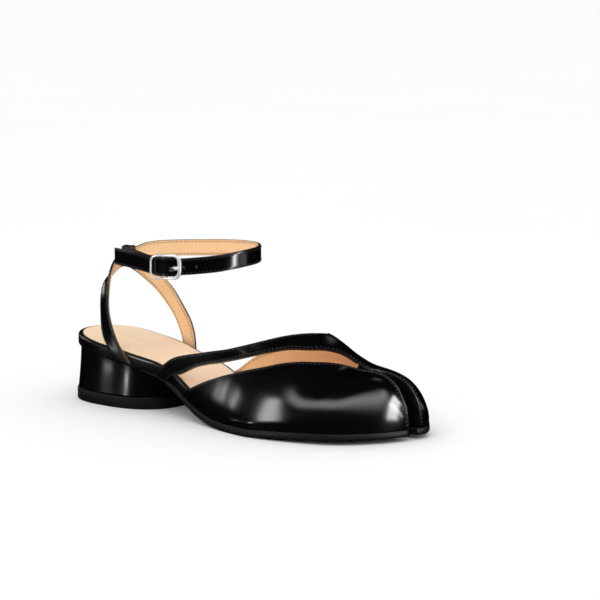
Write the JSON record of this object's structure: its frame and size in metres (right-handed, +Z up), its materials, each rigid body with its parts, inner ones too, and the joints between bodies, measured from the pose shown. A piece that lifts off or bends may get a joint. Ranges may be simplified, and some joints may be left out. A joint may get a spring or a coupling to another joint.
{
  "type": "split-toe ankle-strap sandal",
  "caption": "Right shoe: low block heel, cleft toe, closed vamp with a long side cut-out under an instep band, open waist, sling straps at the heel and a buckled ankle strap.",
  "frame": {"origin": "middle of the shoe's bounding box, on the floor it stands on", "axes": "+X to the toes, +Y to the inner side of the foot, +Z up"},
  "size_m": [0.247, 0.0904, 0.1022],
  "materials": {
    "upper_leather": "polished black",
    "body_leather": "polished black",
    "heel_leather": "polished black",
    "strap_leather": "polished black outside, tan inside",
    "lining_leather": "matt tan",
    "outsole_rubber": "satin black",
    "top_piece_rubber": "matt black",
    "buckle_metal": "polished silver"
  },
  "bodies": {
    "root": {"outsole": "outsole_rubber", "footbed": "body_leather", "insole": "lining_leather", "upper": "upper_leather", "heel_block": "heel_leather", "heel_top_piece": "top_piece_rubber", "heel_sling": "strap_leather", "ankle_strap": "strap_leather", "buckle_frame": "buckle_metal", "buckle_prong": "buckle_metal"}
  },
  "joints": []
}
